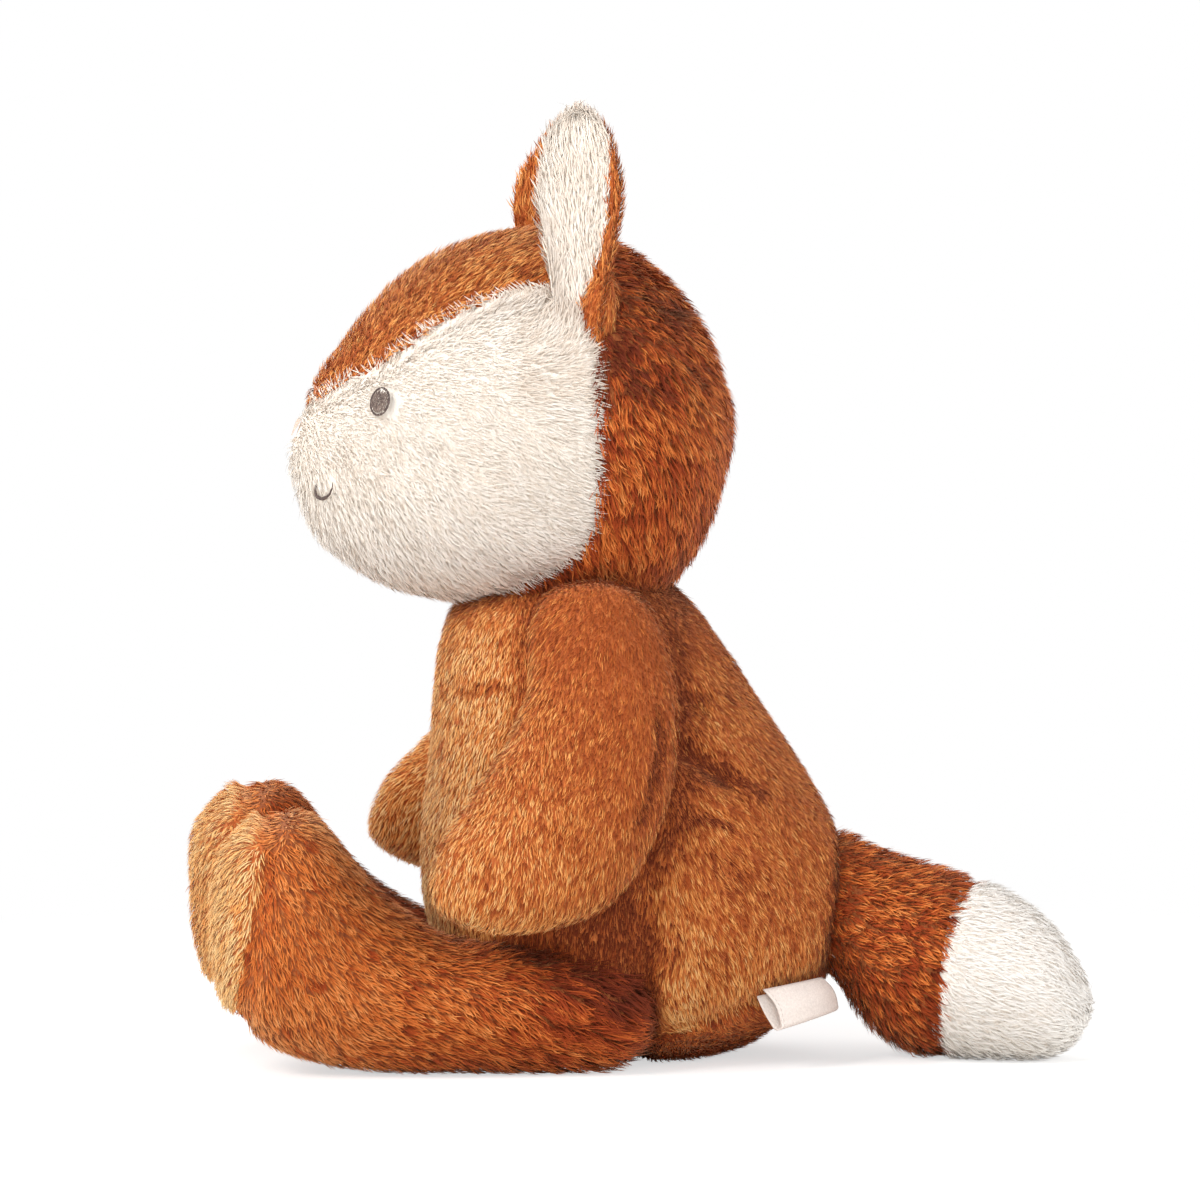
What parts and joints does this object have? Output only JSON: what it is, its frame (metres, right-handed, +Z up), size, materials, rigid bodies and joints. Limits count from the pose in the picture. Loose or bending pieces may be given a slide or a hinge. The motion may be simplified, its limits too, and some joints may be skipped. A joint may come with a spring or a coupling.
{
  "type": "plush fox",
  "caption": "Seated plush fox with a stuffed head, upright cup ears, hanging mitten arms, upturned feet and a thick tail with a pale tip; every limb turns on its sewn seam.",
  "frame": {"origin": "middle of the seat, on the surface that the fox sits on", "axes": "+Z up from the seat, -Y the way the face and the feet point, +X the fox's left side"},
  "size_m": [0.1342, 0.2223, 0.239],
  "materials": {
    "rust_plush": "short combed polyester pile",
    "deep_rust_plush": "longer tufted polyester pile",
    "cream_plush": "long combed cream pile",
    "polyester_fill": "white polyester fibre filling",
    "pouch_cloth": "plain woven pouch with plastic pellets",
    "thread": "grey-brown embroidery thread",
    "satin_ribbon": "white satin, folded"
  },
  "bodies": {
    "body": {"seat_panel": "rust_plush", "belly_panel": "rust_plush", "left_back_panel": "rust_plush", "right_back_panel": "rust_plush", "body_stuffing": "polyester_fill", "pellet_pouch": "pouch_cloth", "ribbon_loop": "satin_ribbon"},
    "head": {"forehead_panel": "rust_plush", "left_cheek_panel": "cream_plush", "right_cheek_panel": "cream_plush", "left_head_back_panel": "deep_rust_plush", "right_head_back_panel": "deep_rust_plush", "head_stuffing": "polyester_fill", "left_eye_embroidery": "thread", "right_eye_embroidery": "thread", "mouth_embroidery": "thread", "nose_embroidery": "thread"},
    "left_ear": {"left_ear_back_panel": "rust_plush", "left_ear_lining": "cream_plush"},
    "right_ear": {"right_ear_back_panel": "rust_plush", "right_ear_lining": "cream_plush"},
    "left_arm": {"left_arm_outer_panel": "rust_plush", "left_arm_inner_panel": "rust_plush", "left_arm_stuffing": "polyester_fill"},
    "right_arm": {"right_arm_outer_panel": "rust_plush", "right_arm_inner_panel": "rust_plush", "right_arm_stuffing": "polyester_fill"},
    "left_leg": {"left_leg_outer_panel": "rust_plush", "left_leg_inner_panel": "rust_plush", "left_sole_panel": "rust_plush", "left_leg_stuffing": "polyester_fill"},
    "right_leg": {"right_leg_outer_panel": "rust_plush", "right_leg_inner_panel": "rust_plush", "right_sole_panel": "rust_plush", "right_leg_stuffing": "polyester_fill"},
    "tail": {"tail_sleeve_panel": "deep_rust_plush", "tail_tip_panel": "cream_plush", "tail_stuffing": "polyester_fill"}
  },
  "joints": [
    {"name": "neck_turn", "type": "hinge", "parent": "body", "child": "head", "pos_m": [0, -0.016, 0.1145], "axis": [0, 0, 1], "range_deg": [-25, 25]},
    {"name": "left_ear_flop", "type": "hinge", "parent": "head", "child": "left_ear", "pos_m": [0.038, -0.0185, 0.19], "axis": [0.5, 0.866, 0], "range_deg": [-15, 15]},
    {"name": "right_ear_flop", "type": "hinge", "parent": "head", "child": "right_ear", "pos_m": [-0.038, -0.0185, 0.19], "axis": [-0.5, 0.866, 0], "range_deg": [-15, 15]},
    {"name": "left_shoulder", "type": "hinge", "parent": "body", "child": "left_arm", "pos_m": [0.037, -0.013, 0.11], "axis": [-0.9511, 0, -0.309], "range_deg": [-30, 45]},
    {"name": "right_shoulder", "type": "hinge", "parent": "body", "child": "right_arm", "pos_m": [-0.037, -0.013, 0.11], "axis": [-0.9511, 0, 0.309], "range_deg": [-30, 45]},
    {"name": "left_hip", "type": "hinge", "parent": "body", "child": "left_leg", "pos_m": [0.031, -0.0155, 0.0173], "axis": [0, 0, 1], "range_deg": [0, 25]},
    {"name": "right_hip", "type": "hinge", "parent": "body", "child": "right_leg", "pos_m": [-0.031, -0.0181, 0.0173], "axis": [0, 0, -1], "range_deg": [0, 25]},
    {"name": "tail_wag", "type": "hinge", "parent": "body", "child": "tail", "pos_m": [0, 0.046, 0.037], "axis": [0, 0, 1], "range_deg": [-6, 28]}
  ]
}
